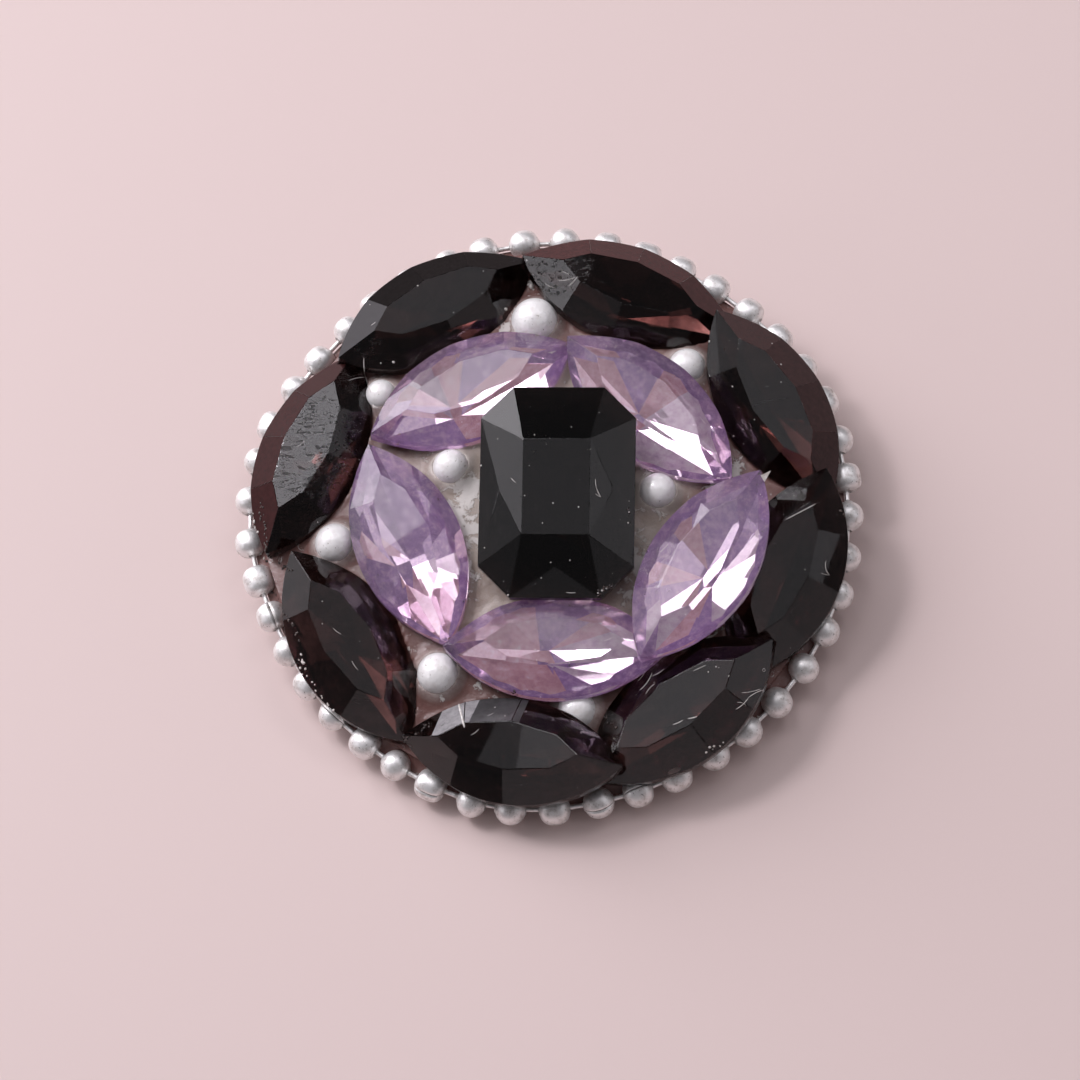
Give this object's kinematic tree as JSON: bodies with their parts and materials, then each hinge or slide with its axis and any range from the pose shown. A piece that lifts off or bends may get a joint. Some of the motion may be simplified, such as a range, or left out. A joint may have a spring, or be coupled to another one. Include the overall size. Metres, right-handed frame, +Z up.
{
  "type": "saree pin",
  "caption": "Round glued brooch: dark navette stones round lilac ones and a black octagon, pearls between, ball chain edge, bar pin on the back.",
  "frame": {"origin": "on the surface that the brooch lies on, under the middle of its outline", "axes": "+Z up, out of the table; the brooch lies face up, its octagon's long side along Y, its upper edge towards +Y and about five degrees high because it leans on its pin"},
  "size_m": [0.052, 0.0516, 0.0128],
  "materials": {
    "smoky_glass": "polished facets, near-black smoke with a burgundy tint, lightly scratched",
    "lilac_glass": "polished facets, milky violet opal with pink see-through patches over a bright back",
    "black_glass": "polished facets, almost opaque black",
    "pearl": "soft pearly lustre, slightly worn",
    "clear_glue": "translucent tan set glue, with whitish smears",
    "silver_chain": "dull silver balls, a little tarnished",
    "pin_metal": "plain pressed metal"
  },
  "bodies": {
    "root": {"outer_navette_1": "smoky_glass", "outer_navette_2": "smoky_glass", "outer_navette_3": "smoky_glass", "outer_navette_4": "smoky_glass", "outer_navette_5": "smoky_glass", "outer_navette_6": "smoky_glass", "outer_navette_7": "smoky_glass", "outer_navette_8": "smoky_glass", "inner_navette_1": "lilac_glass", "inner_navette_2": "lilac_glass", "inner_navette_3": "lilac_glass", "inner_navette_4": "lilac_glass", "inner_navette_5": "lilac_glass", "centre_octagon": "black_glass", "pearl_1": "pearl", "pearl_2": "pearl", "pearl_3": "pearl", "pearl_4": "pearl", "pearl_5": "pearl", "pearl_6": "pearl", "pearl_7": "pearl", "pearl_8": "pearl", "base": "clear_glue", "ball_chain": "silver_chain", "back_pin": "pin_metal"}
  },
  "joints": []
}
